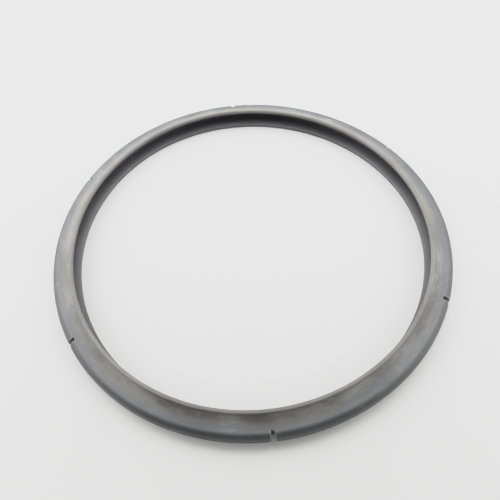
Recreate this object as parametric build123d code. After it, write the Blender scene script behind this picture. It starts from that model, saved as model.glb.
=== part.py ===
from build123d import *

import os
from math import asin, atan2, cos, degrees, hypot, radians, sin

# Lid sealing ring for a stovetop pressure cooker.
#
# One moulding of silicone rubber. Its section is a C that opens towards the ring's axis: two lips, which
# the steam pushes apart against the lid above and the pot rim below, join in a thick rounded nose at the
# outside. Each lip is hollowed on its outer side, so the section runs in an S from the nose up to the lip.
# Notches are cut straight through the nose, at even spacing. The lower lip reaches a little further in
# than the upper one. The ring lies on its lower lip, in millimetres, with +Z along the ring's axis and the
# origin at the centre of the circle that it rests on.

# Ring
outer_diameter = 240.0
section_height = 14.6
section_width = 13.4  # from the nose to the upper lip's edge

# Nose, at the outside
nose_radius = 4.0
nose_land = 0.8  # height of the straight band that seats in the lid's rim
shoulder_slope = 3.0  # degrees, where the nose runs into the lip's hollow
web_thickness = 5.6  # of rubber between the nose and the channel

# Lips
crest_land = 0.9  # width of the flat crest that seals
crest_radius = 0.8  # where the crest turns down into the hollow
rim_radius = 0.45  # of the corners above and below the inner edge
bore_land = 1.4  # height of the straight inner edge
lower_lip_extra_reach = 0.6
root_radius = 3.1  # of the channel's round end

# Notches
notch_count = 6
notch_width = 2.0
notch_depth = 4.0
notch_end_radius = 0.3
notch_mouth_radius = 0.6
first_notch_angle = 90.0  # degrees from +X

# Room past a surface for a cutting tool
cut_margin = 2.0

outer_radius = outer_diameter / 2
middle_height = section_height / 2
upper_lip_radius = outer_radius - section_width
lower_lip_radius = upper_lip_radius - lower_lip_extra_reach


def point_on(centre, radius, angle):
    """The point of a circle at an angle in degrees from the outward direction."""
    return (centre[0] + radius * cos(radians(angle)), centre[1] + radius * sin(radians(angle)))


def arc_points(centre, radius, start_angle, end_angle):
    """Start, middle and end of an arc."""
    middle_angle = (start_angle + end_angle) / 2
    return [point_on(centre, radius, angle) for angle in (start_angle, middle_angle, end_angle)]


def lip_outline(lip_radius):
    """Half of the section, from the nose round the lip's tip to the channel's end, as runs of points.

    A run of two points is a straight line and a run of three is an arc. Each point is (distance from the
    ring's axis, distance from the section's middle plane).
    """
    nose_centre = (outer_radius - nose_radius, nose_land / 2)
    shoulder_angle = 90 - shoulder_slope
    shoulder = point_on(nose_centre, nose_radius, shoulder_angle)

    # The centres of the tip's rounded corners: towards the hollow, at the rim and below the inner edge.
    rim = (lip_radius + rim_radius, middle_height - rim_radius)
    crest = (rim[0] + crest_land, middle_height - crest_radius)
    lower_rim = (rim[0], rim[1] - bore_land)

    # The hollow is one arc: it leaves the nose along the shoulder's slope and touches the crest's corner.
    normal = (sin(radians(shoulder_slope)), cos(radians(shoulder_slope)))
    offset = (shoulder[0] - crest[0], shoulder[1] - crest[1])
    reach_squared = offset[0] ** 2 + offset[1] ** 2
    along_normal = offset[0] * normal[0] + offset[1] * normal[1]
    hollow_radius = (reach_squared - crest_radius**2) / (2 * (crest_radius - along_normal))
    hollow_centre = (shoulder[0] + hollow_radius * normal[0], shoulder[1] + hollow_radius * normal[1])
    crest_angle = degrees(atan2(hollow_centre[1] - crest[1], hollow_centre[0] - crest[0]))

    # The lip's inner face is the straight line that touches the lower corner and the channel's end.
    root_centre = (outer_radius - web_thickness - root_radius, 0.0)
    run = (root_centre[0] - lower_rim[0], root_centre[1] - lower_rim[1])
    face_angle = degrees(atan2(run[1], run[0]) + asin((rim_radius + root_radius) / hypot(*run)))
    face_start = point_on(lower_rim, rim_radius, face_angle + 270)
    face_end = point_on(root_centre, root_radius, face_angle + 90)

    return [
        [(outer_radius, 0.0), (outer_radius, nose_land / 2)],
        arc_points(nose_centre, nose_radius, 0, shoulder_angle),
        arc_points(hollow_centre, hollow_radius, shoulder_angle - 180, crest_angle - 180),
        arc_points(crest, crest_radius, crest_angle, 90),
        [point_on(crest, crest_radius, 90), point_on(rim, rim_radius, 90)],
        arc_points(rim, rim_radius, 90, 180),
        [point_on(rim, rim_radius, 180), point_on(lower_rim, rim_radius, 180)],
        arc_points(lower_rim, rim_radius, 180, face_angle + 270),
        [face_start, face_end],
        arc_points(root_centre, root_radius, face_angle + 90, 0),
    ]


def section_face():
    """The whole C section as a face in the XZ plane."""
    upper = [[(r, middle_height + h) for r, h in run] for run in lip_outline(upper_lip_radius)]
    lower = [[(r, middle_height - h) for r, h in run] for run in lip_outline(lower_lip_radius)]
    with BuildSketch(Plane.XZ) as sketch:
        with BuildLine():
            for run in upper + lower:
                if len(run) == 2:
                    Line(*run)
                else:
                    ThreePointArc(*run)
        make_face()
    return sketch.sketch


def notch_cutter():
    """One notch, pointing along +X: parallel sides, a square end with small radii and a rounded mouth."""
    half = notch_width / 2
    mouth_half = half + notch_mouth_radius
    end = outer_radius - notch_depth
    mouth = outer_radius - notch_mouth_radius
    outside = outer_radius + cut_margin
    with BuildSketch(Plane.XY.offset(-cut_margin)) as sketch:
        with BuildLine():
            for side in (1, -1):
                Line((end, 0), (end, side * (half - notch_end_radius)))
                RadiusArc(
                    (end, side * (half - notch_end_radius)),
                    (end + notch_end_radius, side * half),
                    side * notch_end_radius,
                )
                Line((end + notch_end_radius, side * half), (mouth, side * half))
                RadiusArc(
                    (mouth, side * half),
                    (outer_radius, side * mouth_half),
                    -side * notch_mouth_radius,
                )
                Line((outer_radius, side * mouth_half), (outside, side * mouth_half))
                Line((outside, side * mouth_half), (outside, 0))
        make_face()
    return extrude(sketch.sketch, amount=section_height + 2 * cut_margin)


def sealing_ring():
    """The turned section less its notches."""
    ring = revolve(section_face(), axis=Axis.Z)
    cutter = notch_cutter()
    for index in range(notch_count):
        ring -= Rot(0, 0, first_notch_angle + index * 360 / notch_count) * cutter
    return ring


os.makedirs("parts", exist_ok=True)
ring = sealing_ring()
ring.label = "sealing_ring"
export_step(ring, "parts/sealing_ring.step")
print("sealing_ring", round(ring.volume), "mm3,", len(ring.solids()), "solid")
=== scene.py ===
from math import radians

import bpy
import numpy as np
from mathutils import Matrix, Vector


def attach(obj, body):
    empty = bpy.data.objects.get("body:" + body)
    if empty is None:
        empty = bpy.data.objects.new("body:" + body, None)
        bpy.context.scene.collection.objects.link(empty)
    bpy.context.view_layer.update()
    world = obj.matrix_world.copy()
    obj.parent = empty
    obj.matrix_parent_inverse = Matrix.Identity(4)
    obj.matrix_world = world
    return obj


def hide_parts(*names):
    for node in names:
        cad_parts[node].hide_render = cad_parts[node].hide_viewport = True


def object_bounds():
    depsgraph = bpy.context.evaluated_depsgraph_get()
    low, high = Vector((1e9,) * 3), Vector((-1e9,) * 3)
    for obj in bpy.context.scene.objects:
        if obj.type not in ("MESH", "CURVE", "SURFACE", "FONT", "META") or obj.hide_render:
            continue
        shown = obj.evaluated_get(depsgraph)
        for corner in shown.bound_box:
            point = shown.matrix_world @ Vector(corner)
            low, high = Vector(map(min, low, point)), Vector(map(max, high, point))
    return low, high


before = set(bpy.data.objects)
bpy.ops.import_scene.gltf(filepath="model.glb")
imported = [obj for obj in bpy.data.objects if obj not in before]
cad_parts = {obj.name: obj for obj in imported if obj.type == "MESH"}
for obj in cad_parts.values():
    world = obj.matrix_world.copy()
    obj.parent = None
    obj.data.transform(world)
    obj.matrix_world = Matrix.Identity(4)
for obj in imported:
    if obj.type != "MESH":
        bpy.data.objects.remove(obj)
cadLow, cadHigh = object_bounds()
print("frame loaded", [round(side, 4) for side in cadHigh - cadLow])

mm = 0.001


class Value:
    # A shader socket that can stand in an expression: each operator adds its Math node.
    def __init__(self, graph, socket):
        self.graph = graph
        self.socket = socket

    def math(self, operation, other):
        return self.graph.add("ShaderNodeMath", {"operation": operation}, {0: self, 1: other})

    def __add__(self, other):
        return self.math("ADD", other)

    def __radd__(self, other):
        return self.math("ADD", other)

    def __sub__(self, other):
        return self.math("SUBTRACT", other)

    def __rsub__(self, other):
        return self.graph.add("ShaderNodeMath", {"operation": "SUBTRACT"}, {0: other, 1: self})

    def __mul__(self, other):
        return self.math("MULTIPLY", other)

    def __rmul__(self, other):
        return self.math("MULTIPLY", other)


class Graph:
    # The node tree of a material or a world, with one method that adds any node.
    def __init__(self, owner):
        owner.use_nodes = True
        self.owner = owner
        self.tree = owner.node_tree
        self.tree.nodes.clear()

    def add(self, kind, settings=None, inputs=None, output=0):
        # inputs are keyed by name or number, and each is a plain value or the Value that feeds it
        node = self.tree.nodes.new(kind)
        for key, value in (settings or {}).items():
            setattr(node, key, value)
        for key, value in (inputs or {}).items():
            if isinstance(value, Value):
                self.tree.links.new(value.socket, node.inputs[key])
            else:
                node.inputs[key].default_value = value
        return Value(self, node.outputs[output]) if len(node.outputs) else node

    def blend(self, share, first, second):
        # a colour that goes from first to second with share; a Mix node's colour sockets are 6 and 7
        return self.add("ShaderNodeMix", {"data_type": "RGBA"}, {0: share, 6: first, 7: second}, 2)

    def scaled(self, colour, share):
        # a colour times a number
        return self.add("ShaderNodeVectorMath", {"operation": "SCALE"}, {0: colour, "Scale": share})

    def between(self, value, low, high, outLow=0.0, outHigh=1.0):
        # value from low..high to outLow..outHigh, smooth at both ends and level beyond them
        return self.add("ShaderNodeMapRange", {"interpolation_type": "SMOOTHSTEP"},
                        {0: value, 1: low, 2: high, 3: outLow, 4: outHigh})

    def noise(self, place, scale, detail, roughness, distortion=0.0):
        # fractal noise from 0 to 1, with its middle at 0.5
        return self.add("ShaderNodeTexNoise", {"noise_dimensions": "3D"},
                        {"Vector": place, "Scale": scale, "Detail": detail, "Roughness": roughness,
                         "Distortion": distortion})


cameraSetup = {
    "lens": 32.8,  # millimetres, on a sensor 36 wide: a phone's main camera
    "azimuth": -1.5,  # degrees round the ring from the -Y side
    "elevation": 56.55,
    "roll": -5.14,
    "distance": 2.400,  # from the ring's resting circle, in outer radii
    "aside": -0.0038,  # the ring's centre from the view's axis, in outer radii, to the right
    "above": 0.0410,  # and upwards
}


def makeCamera(setup, outerRadius):
    # The camera looks back along a ray that rises by elevation over azimuth, rolled about that ray.
    # It then steps sideways in its own plane until the ring's centre stands aside and above its axis.
    data = bpy.data.cameras.new("camera")
    data.lens = setup["lens"]
    data.clip_start, data.clip_end = 0.01, 50
    camera = bpy.data.objects.new("camera", data)
    bpy.context.scene.collection.objects.link(camera)
    turn = (Matrix.Rotation(radians(setup["azimuth"]), 4, "Z")
            @ Matrix.Rotation(radians(90 - setup["elevation"]), 4, "X")
            @ Matrix.Rotation(radians(setup["roll"]), 4, "Z"))
    step = Matrix.Translation([share * outerRadius for share in
                               (-setup["aside"], -setup["above"], setup["distance"])])
    camera.matrix_world = turn @ step
    bpy.context.scene.camera = camera
    print("camera at", [round(x, 4) for x in camera.matrix_world.translation])
    return camera


studio = {
    "floorReach": 3.0,
    "floorColour": (0.80, 0.795, 0.785),
    "floorCloud": 6.0,  # noise cells to the metre
    "floorShade": 0.985,  # how light the cloud's darkest places are
    "floorRoughness": 0.62,
    "flagSize": (0.44, 0.285),
    "flagColour": (0.02, 0.02, 0.02, 1),
    "flagRise": 0.03,
    "flagBehind": 0.02,
    "skyLow": (1.0, 0.985, 0.955, 1),  # tint towards the horizon
    "skyHigh": (0.965, 0.985, 1.0, 1),  # and overhead
    "skyStrength": 3.2,
    "brightSide": (0.15, 0.98, 0.10),  # the tent is white this way, and open and dark the other way
    "brightInner": -0.20,  # cosine from brightSide where the white starts to dim
    "brightOuter": -0.63,  # and where it ends
    "wallSide": (0.24, 0.95, 0.17),  # the tent's far wall is dimmer
    "wallEdge": (0.45, 0.92),  # cosines where it starts and where it's fully so
    "wallLevel": 0.35,
    "backdrop": (0.80, 0.80, 0.795, 1),  # what the camera sees past the floor, which lights nothing
}


def makeFloor(setup):
    # One square, flat in z = 0. Its colour is lightened and darkened by a wide, faint cloud.
    reach = setup["floorReach"]
    mesh = bpy.data.meshes.new("floor")
    corners = [(-reach, -reach, 0), (reach, -reach, 0), (reach, reach, 0), (-reach, reach, 0)]
    mesh.from_pydata(corners, [], [(0, 1, 2, 3)])
    floor = bpy.data.objects.new("floor", mesh)
    bpy.context.scene.collection.objects.link(floor)
    graph = Graph(bpy.data.materials.new("floor_board"))
    place = graph.add("ShaderNodeTexCoord", output=3)
    cloud = graph.noise(place, setup["floorCloud"], 3.0, 0.6)
    shade = graph.between(cloud, 0.3, 0.7, setup["floorShade"], 1.0)
    surface = graph.add("ShaderNodeBsdfPrincipled", None,
                        {"Base Color": graph.scaled(setup["floorColour"], shade),
                         "Roughness": setup["floorRoughness"]})
    graph.add("ShaderNodeOutputMaterial", None, {"Surface": surface})
    mesh.materials.append(graph.owner)
    print("floor", 2 * reach, "m square")


def makeFlag(setup, camera):
    # A black card behind the camera, which no camera sees. It keeps light off the near side.
    wide, tall = setup["flagSize"]
    signs = [(-1, -1), (1, -1), (1, 1), (-1, 1)]
    corners = [(x * wide / 2, y * tall / 2 + setup["flagRise"], setup["flagBehind"]) for x, y in signs]
    mesh = bpy.data.meshes.new("flag")
    mesh.from_pydata(corners, [], [(0, 1, 2, 3)])
    mesh.transform(camera.matrix_world)
    flag = bpy.data.objects.new("flag", mesh)
    bpy.context.scene.collection.objects.link(flag)
    graph = Graph(bpy.data.materials.new("black_card"))
    surface = graph.add("ShaderNodeBsdfDiffuse", None, {"Color": setup["flagColour"]})
    graph.add("ShaderNodeOutputMaterial", None, {"Surface": surface})
    mesh.materials.append(graph.owner)
    flag.visible_camera = False
    print("card behind the camera", wide, "by", tall, "m")


def makeSky(setup):
    # A white tent, open towards the camera: its level follows the cosine between the ray and brightSide,
    # times a dimmer that follows the cosine between the ray and the far wall.
    # Its tint goes from skyLow at the horizon to skyHigh overhead with the ray's height.
    world = bpy.data.worlds.new("studio_sky")
    bpy.context.scene.world = world
    graph = Graph(world)
    ray = graph.add("ShaderNodeTexCoord")

    def cosineTo(direction):
        # the cosine between the ray and a direction
        return graph.add("ShaderNodeVectorMath", {"operation": "DOT_PRODUCT"},
                         {0: ray, 1: Vector(direction).normalized()}, 1)

    level = graph.between(cosineTo(setup["brightSide"]), setup["brightOuter"], setup["brightInner"],
                          0.0, setup["skyStrength"])
    dimmer = graph.between(cosineTo(setup["wallSide"]), *setup["wallEdge"], 1.0, setup["wallLevel"])
    rayHeight = graph.add("ShaderNodeSeparateXYZ", None, {0: ray}, 2)
    tint = graph.blend(rayHeight, setup["skyLow"], setup["skyHigh"])
    light = graph.add("ShaderNodeBackground", None, {"Color": tint, "Strength": level * dimmer})
    backdrop = graph.add("ShaderNodeBackground", None, {"Color": setup["backdrop"]})
    isSeen = graph.add("ShaderNodeLightPath")
    shown = graph.add("ShaderNodeMixShader", None, {0: isSeen, 1: light, 2: backdrop})
    graph.add("ShaderNodeOutputWorld", None, {"Surface": shown})
    print("tent at level", setup["skyStrength"])


tone = {
    "whiteLevel": 2.0,
    "points": [(0, 0), (0.30, 0.30), (0.60, 0.61), (0.80, 0.715), (1.06, 0.775), (1.40, 0.81), (2.0, 0.84)],
}


def setTone(setup):
    # A camera's soft shoulder: (light, shown) points, straight up to 0.3 and level near white.
    view = bpy.context.scene.view_settings
    view.view_transform = "Standard"
    view.use_curve_mapping = True
    mapping = view.curve_mapping
    white = setup["whiteLevel"]
    mapping.white_level = (white, white, white)
    curve = mapping.curves[3]
    for light, shown in setup["points"][1:-1]:
        curve.points.new(light / white, shown)
    curve.points[len(curve.points) - 1].location = (1, setup["points"][-1][1])
    mapping.update()
    print("tone curve with", len(curve.points), "points")


ringSize = {
    "sectionWidth": 13.4 * mm,  # from the nose to the upper lip's edge
    "noseRadius": 4.0 * mm,
    "noseLand": 0.8 * mm,
    "shoulderSlope": 3.0,  # degrees
    "webThickness": 5.6 * mm,
    "crestLand": 0.9 * mm,
    "crestRadius": 0.8 * mm,
    "rimRadius": 0.45 * mm,
    "boreLand": 1.4 * mm,
    "lowerLipExtra": 0.6 * mm,
    "rootRadius": 3.1 * mm,
    "notchCount": 6,
    "notchWidth": 2.0 * mm,
    "notchDepth": 4.0 * mm,
    "notchCorner": 0.3 * mm,
    "notchMouth": 0.6 * mm,
    "notchEdge": 0.16 * mm,  # rounding of the cut edges
    "nearReach": 2.6 * mm,  # from a notch's middle to where the even columns begin
    "firstNotch": 90.0,  # degrees from +X
    "partingWidth": 0.6 * mm,  # of the thin bead that the mould leaves round the nose
    "partingHeight": 0.30 * mm,
    "columns": 600,
    # points in each run of the section, then columns in each stretch at a notch
    "steps": {"bead": 5, "nose": 13, "hollow": 16, "crest": 5, "land": 4, "rim": 6, "bore": 3,
              "underRim": 4, "face": 7, "root": 7, "end": 4, "corner": 5, "edge": 6, "near": 5},
    # how far it lies out of round, in radii
    "ovalTwo": (-0.0013, -0.0050),  # by the cosine and the sine of twice the angle
    "ovalThree": (0.0036, -0.0008),  # and of three times the angle
}


def onArc(centre, radius, angle):
    # A circle's points at angles in degrees from the outward direction.
    turn = np.radians(angle)
    return np.stack([centre[0] + radius * np.cos(turn), centre[1] + radius * np.sin(turn)], axis=-1)


def arcRun(centre, radius, start, end, count):
    # Points on a circle at even angles from start to end.
    return onArc(centre, radius, np.linspace(start, end, count))


def straightRun(start, end, count):
    # Points at even steps from start to end.
    share = np.linspace(0, 1, count)[:, None]
    return (1 - share) * np.asarray(start) + share * np.asarray(end)


def lipOutline(size, outerRadius, halfHeight, lipRadius):
    # Half a section, from the nose round the lip's tip to the channel's end, as (radius, height from the
    # middle plane). The nose is an arc that ends on the shoulder's slope. One arc hollows the lip from
    # there to the crest's corner, tangent to both. The lip's inner face is the line that touches the
    # corner under the rim and the channel's round end. The mould's parting bead stands out from the nose
    # by a squared cosine of the height.
    slope, rimRadius, rootRadius = size["shoulderSlope"], size["rimRadius"], size["rootRadius"]
    steps = size["steps"]
    nose = np.array([outerRadius - size["noseRadius"], size["noseLand"] / 2])
    shoulder = onArc(nose, size["noseRadius"], 90 - slope)
    rim = np.array([lipRadius + rimRadius, halfHeight - rimRadius])
    crest = np.array([rim[0] + size["crestLand"], halfHeight - size["crestRadius"]])
    lowerRim = rim - [0, size["boreLand"]]
    normal = np.array([np.sin(radians(slope)), np.cos(radians(slope))])
    offset = shoulder - crest
    alongNormal = offset @ normal
    hollowRadius = (offset @ offset - size["crestRadius"] ** 2) / (2 * (size["crestRadius"] - alongNormal))
    hollow = shoulder + hollowRadius * normal
    crestAngle = np.degrees(np.arctan2(hollow[1] - crest[1], hollow[0] - crest[0]))
    root = np.array([outerRadius - size["webThickness"] - rootRadius, 0])
    run = root - lowerRim
    face = np.degrees(np.arctan2(run[1], run[0]) + np.arcsin((rimRadius + rootRadius) / np.hypot(*run)))
    beadHeight = np.linspace(0, size["partingWidth"] / 2, steps["bead"])
    beadReach = size["partingHeight"] * np.cos(np.pi * beadHeight / size["partingWidth"]) ** 2
    runs = [
        np.stack([outerRadius + beadReach, beadHeight], axis=-1),
        straightRun((outerRadius, size["partingWidth"] / 2), (outerRadius, size["noseLand"] / 2), 2),
        arcRun(nose, size["noseRadius"], 0, 90 - slope, steps["nose"]),
        arcRun(hollow, hollowRadius, -90 - slope, crestAngle - 180, steps["hollow"]),
        arcRun(crest, size["crestRadius"], crestAngle, 90, steps["crest"]),
        straightRun(crest + [0, size["crestRadius"]], rim + [0, rimRadius], steps["land"]),
        arcRun(rim, rimRadius, 90, 180, steps["rim"]),
        straightRun(rim - [rimRadius, 0], lowerRim - [rimRadius, 0], steps["bore"]),
        arcRun(lowerRim, rimRadius, 180, face + 270, steps["underRim"]),
        straightRun(onArc(lowerRim, rimRadius, face + 270), onArc(root, rootRadius, face + 90),
                    steps["face"]),
        arcRun(root, rootRadius, face + 90, 0, steps["root"]),
    ]
    return np.concatenate([runs[0], *[run[1:] for run in runs[1:]]])


def notchColumns(size, outerRadius):
    # Columns from one notch's middle to halfway to the next one, as four arrays: the distance from the
    # notch's middle line, is it in the notch, how far its edge's rounding goes down there, and does the
    # column keep its distance from the middle line at every radius. The rest are at even angles.
    half = size["notchWidth"] / 2
    corner = size["notchCorner"]
    edge = size["notchEdge"]
    steps = size["steps"]
    across = np.concatenate([np.linspace(0, half - corner, steps["end"])[:-1],
                             half - corner + corner * np.sin(np.linspace(0, np.pi / 2, steps["corner"]))])
    turn = np.linspace(0, np.pi / 2, steps["edge"])
    past = half + edge * (1 - np.cos(turn))  # runs out from the wall as a quarter circle
    drop = edge * (1 - np.sin(turn))
    pitch = 360 / size["notchCount"]
    spread = np.radians(np.linspace(0, pitch / 2, size["columns"] // (2 * size["notchCount"]) + 1))
    clear = spread[spread * outerRadius > size["nearReach"]]
    near = np.linspace(past[-1], clear[0] * outerRadius, steps["near"])[1:-1]
    offset = np.concatenate([across, past, near, clear * outerRadius])
    isCut = np.arange(len(offset)) < len(across)
    depth = np.zeros(len(offset))
    depth[len(across):len(across) + len(drop)] = drop
    isStraight = np.arange(len(offset)) < len(across) + len(past)
    return offset, isCut, depth, isStraight


def ringGrid(size, outerRadius, height):
    # The section carried round a circle: a grid of columns (round the ring) by rows (round the section).
    # In a notch the radius stops at the notch's end, whose corners are quarter circles. On the notch's
    # edge the section shrinks by the rounding. At its mouth the walls flare out by a quarter circle. A
    # column that keeps its distance d from the notch's middle line stands at the angle arcsin(d / radius).
    half = height / 2
    lip = outerRadius - size["sectionWidth"]
    upper = lipOutline(size, outerRadius, half, lip)
    lower = lipOutline(size, outerRadius, half, lip - size["lowerLipExtra"])
    section = np.concatenate([upper, (lower * [1, -1])[-2:0:-1]])
    ahead = np.roll(section, -1, axis=0) - np.roll(section, 1, axis=0)
    inward = np.stack([-ahead[:, 1], ahead[:, 0]], axis=1)
    inward = inward / np.linalg.norm(inward, axis=1)[:, None]
    offset, isCut, depth, isStraight = notchColumns(size, outerRadius)
    one = [offset, isCut, depth, isStraight]
    mirrored = [-offset[:0:-1], isCut[:0:-1], depth[:0:-1], isStraight[:0:-1]]
    offset, isCut, depth, isStraight = (np.concatenate(pair) for pair in zip(mirrored, one))
    count = size["notchCount"]
    middle = radians(size["firstNotch"]) + np.repeat(np.arange(count) * 2 * np.pi / count, len(offset) - 1)
    offset, isCut, depth, isStraight = (np.tile(row[:-1], count)[:, None]
                                        for row in (offset, isCut, depth, isStraight))
    notchEnd = outerRadius - size["notchDepth"]
    corner = size["notchCorner"]
    intoCorner = np.clip((np.abs(offset) - size["notchWidth"] / 2 + corner) / corner, 0, 1)
    endHere = notchEnd + corner * (1 - np.sqrt(1 - intoCorner ** 2))
    radius = np.tile(section[:, 0], (len(offset), 1))
    level = np.tile(section[:, 1], (len(offset), 1))
    outside = np.clip((radius - notchEnd) / size["notchEdge"], 0, 1)
    radius = radius + inward[:, 0] * depth * outside
    level = level + inward[:, 1] * depth * outside
    radius = np.where(isCut, np.minimum(radius, endHere), radius)
    intoMouth = np.clip((radius - outerRadius + size["notchMouth"]) / size["notchMouth"], 0, 1)
    flare = size["notchMouth"] * (1 - np.sqrt(1 - intoMouth ** 2)) * ~isCut
    fade = np.clip(1 - (np.abs(offset) - size["notchWidth"]) / size["notchWidth"], 0, 1)
    # below the notch its edge's columns stand clear of the wall's own column
    clear = size["notchEdge"] / 8 * (isStraight & ~isCut) * (radius < notchEnd)
    aside = np.abs(offset) + flare * fade + clear
    keep = np.where(isStraight, 1.0, fade)
    straightAngle = np.arcsin(np.clip(aside / radius, 0, 1))
    angle = np.sign(offset) * (keep * straightAngle + (1 - keep) * aside / outerRadius)
    cut = isStraight * ~isCut * (radius > notchEnd - size["notchEdge"])
    return middle[:, None] + angle, radius, level + half, section, cut


def layRing(angle, radius, size, outerRadius):
    # A soft ring doesn't lie quite round: its radius gains a share of the outer radius that is a sum of
    # cosines and sines of twice and three times the angle.
    two, three = size["ovalTwo"], size["ovalThree"]
    wave = (two[0] * np.cos(2 * angle) + two[1] * np.sin(2 * angle)
            + three[0] * np.cos(3 * angle) + three[1] * np.sin(3 * angle))
    return radius + outerRadius * wave


def gridFaces(columns, rows):
    # Quads of a grid that closes on itself both ways, facing outwards.
    column, row = np.meshgrid(np.arange(columns), np.arange(rows), indexing="ij")
    nextColumn, nextRow = (column + 1) % columns, (row + 1) % rows
    corners = [(column, row), (nextColumn, row), (nextColumn, nextRow), (column, nextRow)]
    return np.stack([across * rows + along for across, along in corners], axis=-1).reshape(-1, 4)


def giveAttribute(mesh, name, kind, key, values):
    # One value per point, from an array.
    attribute = mesh.attributes.new(name, kind, "POINT")
    attribute.data.foreach_set(key, np.ascontiguousarray(values, dtype=np.float32).ravel())


def makeRing(size, material):
    # Points are (radius * cos(angle), radius * sin(angle), level). Attributes carry the finish: strip is
    # the ring unrolled (a circle's two coordinates, then the distance round the section), reach is the
    # distance from the parting line round the section by the shorter way, and cut is 1 on the notches' edges.
    outerRadius = (cadHigh.x - cadLow.x) / 2
    height = cadHigh.z - cadLow.z
    angle, radius, level, section, cut = ringGrid(size, outerRadius, height)
    radius = layRing(angle, radius, size, outerRadius)
    points = np.stack([radius * np.cos(angle), radius * np.sin(angle), level], axis=-1).reshape(-1, 3)
    faces = gridFaces(*angle.shape)
    mesh = bpy.data.meshes.new("sealing_ring_rubber")
    mesh.from_pydata(points, [], faces)
    step = np.linalg.norm(np.diff(section, axis=0, append=section[:1]), axis=1)
    run = np.tile(np.concatenate([[0], np.cumsum(step[:-1])]), (len(angle), 1))
    strip = np.stack([outerRadius * np.cos(angle), outerRadius * np.sin(angle), run], axis=-1)
    giveAttribute(mesh, "strip", "FLOAT_VECTOR", "vector", strip)
    giveAttribute(mesh, "reach", "FLOAT", "value", np.minimum(run, step.sum() - run))
    giveAttribute(mesh, "cut", "FLOAT", "value", cut)
    mesh.shade_smooth()
    mesh.materials.append(material)
    ring = bpy.data.objects.new("sealing_ring_rubber", mesh)
    bpy.context.scene.collection.objects.link(ring)
    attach(ring, "root")
    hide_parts("sealing_ring")
    print("ring", len(points), "points", len(faces), "faces, section", round(step.sum() / mm, 1), "mm round")


silicone = {
    "grey": (0.140, 0.145, 0.153, 1),  # of the outside
    "warmGrey": (0.166, 0.158, 0.143, 1),
    "stainShadeGrey": (0.082, 0.076, 0.066, 1),  # stains and painted shade beside the crest, most on the -Y side
    "paleGrey": (0.30, 0.30, 0.298, 1),  # powder and rubbed places
    "edgeHighlightGrey": (0.30, 0.30, 0.296, 1),  # painted highlight on the cut edges
    "beadHighlightGrey": (0.25, 0.248, 0.242, 1),  # painted highlight on the parting bead
    "crestGrey": (0.178, 0.173, 0.158, 1),
    "lipGrey": (0.112, 0.109, 0.113, 1),  # of the lips' inner faces
    "deepShadeGrey": (0.064, 0.061, 0.066, 1),  # painted shade in the channel's depth
    # each zone is the reach where it fades in, and the one where it's full
    "beadZone": (0.34 * mm, 0.16 * mm),
    "noseShadeZone": (4.6 * mm, 6.6 * mm),  # painted shade on the nose, fading from the nose to the shoulder
    "warmZone": (6.5 * mm, 10.5 * mm),
    "hollowSheenZone": (8.0 * mm, 11.0 * mm),  # painted sheen, from the shoulder to the hollow
    "crestBandZone": (8.5 * mm, 12.0 * mm),
    "crestBandEnd": (15.2 * mm, 14.2 * mm),
    "creaseShadeZone": (13.8 * mm, 14.4 * mm),  # painted shade where the hollow meets the crest's corner
    "creaseShadeEnd": (15.2 * mm, 14.7 * mm),
    "crestZone": (14.6 * mm, 15.4 * mm),
    "outsideZone": (18.4 * mm, 17.2 * mm),
    "deepShadeZone": (19.0 * mm, 25.0 * mm),
    "stainShadeSide": (0.02, -0.115),  # Y, in metres, from where the stains and painted shade are few to where they're most
    "noseShadeShare": 0.42,  # how dark the painted shade makes the nose beside the shoulder
    # how much lighter the painted sheen makes the hollow
    "hollowSheenShare": 1.08,
    # how light the crease's painted shade leaves it
    "creaseShadeShare": 0.8,
    # noise cells to the metre, along the ring and across the section
    "cloudScale": (34, 80),
    "warmthScale": (24, 120),
    "streakScale": (60, 1500),
    "powderScale": (75, 230),
    "scuffScale": (60, 130),
    "patchScale": (48, 30),
    "reliefScale": (160, 420),
    "grainScale": 1500,
    # how much of a colour each finish lays over the rest
    "warmCover": 0.55,
    "powderCover": 0.58,
    "scuffCover": 0.36,
    # the bead's pale colour is a painted highlight
    "beadHighlightCover": 0.8,
    # the cut edges' pale colour is a painted highlight
    "cutHighlightCover": 0.45,
    "roughness": 0.38,
    "reliefHeight": 0.12 * mm,
    "ior": 1.48,
}


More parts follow.
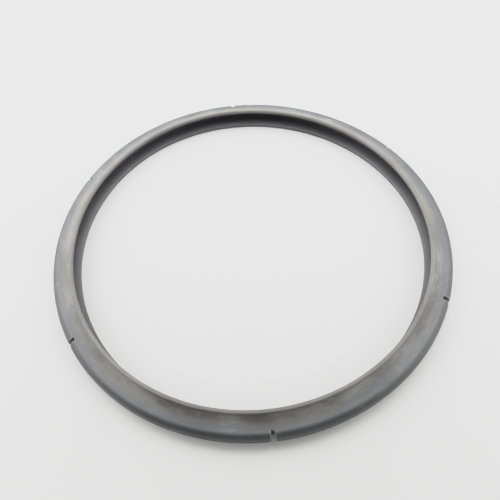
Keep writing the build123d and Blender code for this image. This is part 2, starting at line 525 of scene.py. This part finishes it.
def siliconeMaterial(finish):
    # The colour is laid on in layers, each blended over the last by a share from 0 to 1. A share is a
    # product of smooth steps of the reach and of noises, which run in the unrolled place. A lightness
    # then scales it: noises about 1, times smooth steps of the reach for painted shade on the nose and in
    # the crease and for a painted sheen on the hollow.
    graph = Graph(bpy.data.materials.new("grey_silicone"))
    strip = graph.add("ShaderNodeAttribute", {"attribute_name": "strip"}, output=1)
    reach = graph.add("ShaderNodeAttribute", {"attribute_name": "reach"}, output=2)
    cut = graph.add("ShaderNodeAttribute", {"attribute_name": "cut"}, output=2)

    def stretchedNoise(name, detail, roughness, distortion=0.0):
        # noise in the unrolled place, with its own scales along the ring and across the section
        along, across = finish[name]
        place = graph.add("ShaderNodeVectorMath", {"operation": "MULTIPLY"},
                          {0: strip, 1: (along, along, across)})
        return graph.noise(place, 1.0, detail, roughness, distortion)

    def zone(name, outLow=0.0, outHigh=1.0):
        # from outLow to outHigh over a zone of the reach
        return graph.between(reach, *finish[name], outLow, outHigh)

    # patches 15 to 40 mm long that lean from cool to warm and from dark to pale
    cloud = stretchedNoise("cloudScale", 4.0, 0.6)
    warmth = stretchedNoise("warmthScale", 3.0, 0.6, 0.4)
    streak = stretchedNoise("streakScale", 3.0, 0.6)
    grain = graph.noise(strip, finish["grainScale"], 2.0, 0.7)
    powder = stretchedNoise("powderScale", 5.0, 0.68, 0.8)

    warm = graph.between(warmth, 0.40, 0.62) * zone("warmZone", 0.25, 1.0)
    colour = graph.blend(warm, finish["grey"], finish["warmGrey"])
    # beside the crest the rubber is warmer, with darker patches of stain and painted shade, most of them on
    # the -Y side
    besideCrest = zone("crestBandZone") * zone("crestBandEnd")
    ringY = graph.add("ShaderNodeSeparateXYZ", None, {0: strip}, 1)
    stainedAndShaded = graph.between(ringY, *finish["stainShadeSide"], 0.12, 1.0)
    colour = graph.blend(besideCrest * finish["warmCover"], colour, finish["warmGrey"])
    colour = graph.blend(besideCrest * stainedAndShaded * graph.between(cloud, 0.66, 0.36), colour, finish["stainShadeGrey"])
    # powder lies on the outside in soft patches
    outside = zone("outsideZone")
    powdered = graph.between(powder, 0.54, 0.80) * outside * finish["powderCover"]
    colour = graph.blend(powdered, colour, finish["paleGrey"])
    # thin scuffs, where a soft noise crosses its middle, on a few patches only
    crossing = stretchedNoise("scuffScale", 1.5, 0.4, 0.3)
    patch = stretchedNoise("patchScale", 2.0, 0.5)
    offMiddle = graph.add("ShaderNodeMath", {"operation": "ABSOLUTE"}, {0: crossing - 0.5})
    scuff = graph.between(offMiddle, 0.022, 0.004) * graph.between(patch, 0.54, 0.66) * outside
    colour = graph.blend(scuff * finish["scuffCover"], colour, finish["paleGrey"])
    onCrest = zone("crestZone") * outside * (0.6 + 0.4 * graph.between(streak, 0.35, 0.65))
    colour = graph.blend(onCrest, colour, finish["crestGrey"])
    # the channel is clean and darker, and painted shade darkens it towards its depth
    inside = graph.blend(zone("deepShadeZone"), finish["lipGrey"], finish["deepShadeGrey"])
    colour = graph.blend(1 - outside, colour, inside)

    # painted shade in the crease next to the crest
    creaseShade = zone("creaseShadeZone") * zone("creaseShadeEnd")
    lightness = (0.62 + 0.76 * cloud) * (0.93 + 0.14 * streak) * (0.92 + 0.16 * grain)
    lightness = lightness * (1 - (1 - finish["creaseShadeShare"]) * creaseShade)
    # painted shade on the nose, and a painted sheen on the hollow
    lightness = lightness * zone("noseShadeZone", finish["noseShadeShare"], 1.0)
    lightness = lightness * zone("hollowSheenZone", 1.0, finish["hollowSheenShare"])
    colour = graph.scaled(colour, lightness)
    # painted highlights make the cut edges and the parting bead pale
    colour = graph.blend(zone("beadZone") * finish["beadHighlightCover"], colour, finish["beadHighlightGrey"])
    colour = graph.blend(cut * finish["cutHighlightCover"], colour, finish["edgeHighlightGrey"])

    roughness = finish["roughness"] + 0.16 * (powder - 0.5) + 0.10 * (streak - 0.5)
    relief = 0.35 * stretchedNoise("reliefScale", 3.0, 0.5) + 0.10 * streak + 0.05 * grain
    bump = graph.add("ShaderNodeBump", None,
                     {"Height": relief, "Strength": 0.5, "Distance": finish["reliefHeight"]})
    surface = graph.add("ShaderNodeBsdfPrincipled", None,
                        {"Base Color": colour, "Roughness": roughness, "Normal": bump, "IOR": finish["ior"]})
    graph.add("ShaderNodeOutputMaterial", None, {"Surface": surface})
    print("grey silicone with", len(graph.tree.nodes), "nodes")
    return graph.owner


camera = makeCamera(cameraSetup, (cadHigh.x - cadLow.x) / 2)
makeFloor(studio)
makeFlag(studio, camera)
makeSky(studio)
makeRing(ringSize, siliconeMaterial(silicone))
setTone(tone)
